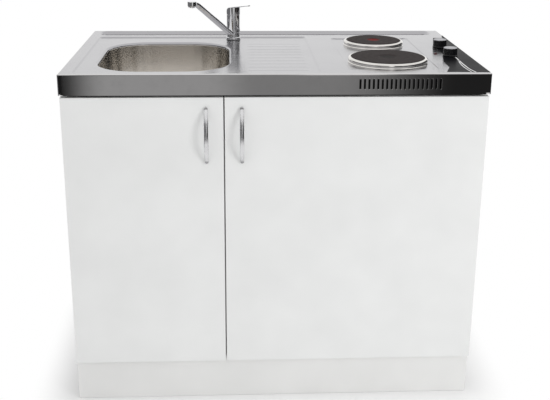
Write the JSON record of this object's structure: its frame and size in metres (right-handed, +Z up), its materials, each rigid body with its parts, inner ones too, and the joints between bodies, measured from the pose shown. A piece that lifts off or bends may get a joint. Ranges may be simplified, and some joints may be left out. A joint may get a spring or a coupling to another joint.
{
  "type": "kitchenette unit with sink and hob",
  "caption": "Base cabinet with hinged doors under a pressed steel top that holds a sink bowl, a drainer, a mixer tap and an electric plate hob.",
  "frame": {"origin": "middle of the footprint box (handles included), on the floor", "axes": "+X to the right along the width, +Y from the doors to the wall, +Z up"},
  "size_m": [1, 0.625, 0.9715],
  "materials": {
    "white_melamine": "smooth melamine face on chipboard",
    "door_white": "smooth white laminate with a faint orange peel",
    "hardboard": "brown hardboard, white on the inside",
    "raw_batten": "raw chipboard strip",
    "zinc_steel": "zinc plated",
    "nickel_hinge": "nickel plated",
    "handle_metal": "satin chrome",
    "soft_dot": "translucent soft dot",
    "worktop_steel": "fine brushed stainless steel",
    "bowl_steel": "silk polished stainless steel",
    "polished_steel": "polished stainless steel",
    "seal_rubber": "black rubber",
    "pipe_plastic": "white polypropylene",
    "grey_plastic": "grey polypropylene",
    "tap_chrome": "polished chrome",
    "tail_copper": "plain copper tube",
    "cartridge_plastic": "moulded",
    "plate_iron": "turned cast iron with a dark coating",
    "ring_steel": "bright stainless steel",
    "ceramic": "glazed ceramic",
    "tray_steel": "galvanised sheet",
    "black_plastic": "gloss black moulding",
    "print_black": "gloss black print",
    "lamp_red": "translucent red lens",
    "wire_silicone": "silicone insulated wire"
  },
  "bodies": {
    "cabinet": {"left_side_panel": "white_melamine", "right_side_panel": "white_melamine", "divider_panel": "white_melamine", "cupboard_floor": "white_melamine", "back_panel": "hardboard", "plinth_board": "white_melamine", "front_stretcher": "zinc_steel", "rear_rails": "white_melamine", "worktop_battens": "raw_batten", "shelf": "white_melamine", "shelf_pins": "zinc_steel", "cabinet_screws": "zinc_steel", "hinge_plates": "nickel_hinge", "hinge_arms": "nickel_hinge", "worktop_sheet": "worktop_steel", "sink_bowl": "bowl_steel", "waste_flange": "polished_steel", "sink_seals": "seal_rubber", "waste_nuts": "grey_plastic", "waste_tailpipe": "pipe_plastic", "trap_body": "pipe_plastic", "trap_cup": "pipe_plastic", "waste_pipe": "pipe_plastic", "tap_base_ring": "tap_chrome", "tap_body": "tap_chrome", "tap_fixings": "zinc_steel", "tap_inlets": "tail_copper", "tap_cartridge": "cartridge_plastic", "front_hob_plate": "plate_iron", "rear_hob_plate": "plate_iron", "spill_rings": "ring_steel", "plate_clamps": "zinc_steel", "plate_nuts": "zinc_steel", "plate_terminals": "ceramic", "hob_tray": "tray_steel", "hob_switches": "black_plastic", "control_panel": "print_black", "pilot_lamp": "lamp_red", "terminal_box": "black_plastic", "cable_gland": "black_plastic", "hob_wiring": "wire_silicone"},
    "left_link": {"left_hinge_links": "nickel_hinge"},
    "left_door": {"left_door": "door_white", "left_handle": "handle_metal", "left_door_screws": "zinc_steel", "left_hinge_cups": "nickel_hinge", "left_door_buffers": "soft_dot"},
    "right_link": {"right_hinge_links": "nickel_hinge"},
    "right_door": {"right_door": "door_white", "right_handle": "handle_metal", "right_door_screws": "zinc_steel", "right_hinge_cups": "nickel_hinge", "right_door_buffers": "soft_dot"},
    "spout": {"tap_spout": "tap_chrome", "tap_aerator": "tap_chrome"},
    "lever_carrier": {"tap_carrier": "grey_plastic"},
    "lever": {"tap_lever": "tap_chrome"},
    "front_knob": {"front_knob": "black_plastic"},
    "rear_knob": {"rear_knob": "black_plastic"},
    "strainer": {"basket_strainer": "polished_steel"}
  },
  "joints": [
    {"name": "left_hinge_link", "type": "hinge", "parent": "cabinet", "child": "left_link", "pos_m": [-0.4647, -0.2605, 0.4], "axis": [0, 0, -1], "range_deg": [-30, 0]},
    {"name": "left_door_swing", "type": "hinge", "parent": "left_link", "child": "left_door", "pos_m": [-0.4889, -0.2681, 0.4], "axis": [0, 0, -1], "range_deg": [0, 130]},
    {"name": "right_hinge_link", "type": "hinge", "parent": "cabinet", "child": "right_link", "pos_m": [0.4647, -0.2605, 0.4], "axis": [0, 0, 1], "range_deg": [-30, 0]},
    {"name": "right_door_swing", "type": "hinge", "parent": "right_link", "child": "right_door", "pos_m": [0.4889, -0.2681, 0.4], "axis": [0, 0, 1], "range_deg": [0, 130]},
    {"name": "spout_swivel", "type": "hinge", "parent": "cabinet", "child": "spout", "pos_m": [-0.098, 0.1825, 0.8475], "axis": [0, 0, 1], "range_deg": [-55, 125]},
    {"name": "lever_turn", "type": "hinge", "parent": "cabinet", "child": "lever_carrier", "pos_m": [-0.098, 0.1825, 0.9095], "axis": [0, 0, 1], "range_deg": [-45, 45]},
    {"name": "lever_lift", "type": "hinge", "parent": "lever_carrier", "child": "lever", "pos_m": [-0.098, 0.1825, 0.9095], "axis": [-0.866, -0.5, 0], "range_deg": [0, 20]},
    {"name": "front_knob_turn", "type": "hinge", "parent": "cabinet", "child": "front_knob", "pos_m": [0.449, -0.0795, 0.85], "axis": [0, 0, 1], "continuous": true},
    {"name": "rear_knob_turn", "type": "hinge", "parent": "cabinet", "child": "rear_knob", "pos_m": [0.449, 0.0395, 0.85], "axis": [0, 0, 1], "continuous": true},
    {"name": "strainer_lift", "type": "slide", "parent": "cabinet", "child": "strainer", "axis": [0, 0, 1], "range_m": [0, 0.12]}
  ],
  "couplings": [
    {"joint": "left_hinge_link", "follows": "left_door_swing", "ratio": -0.23077},
    {"joint": "right_hinge_link", "follows": "right_door_swing", "ratio": -0.23077}
  ]
}
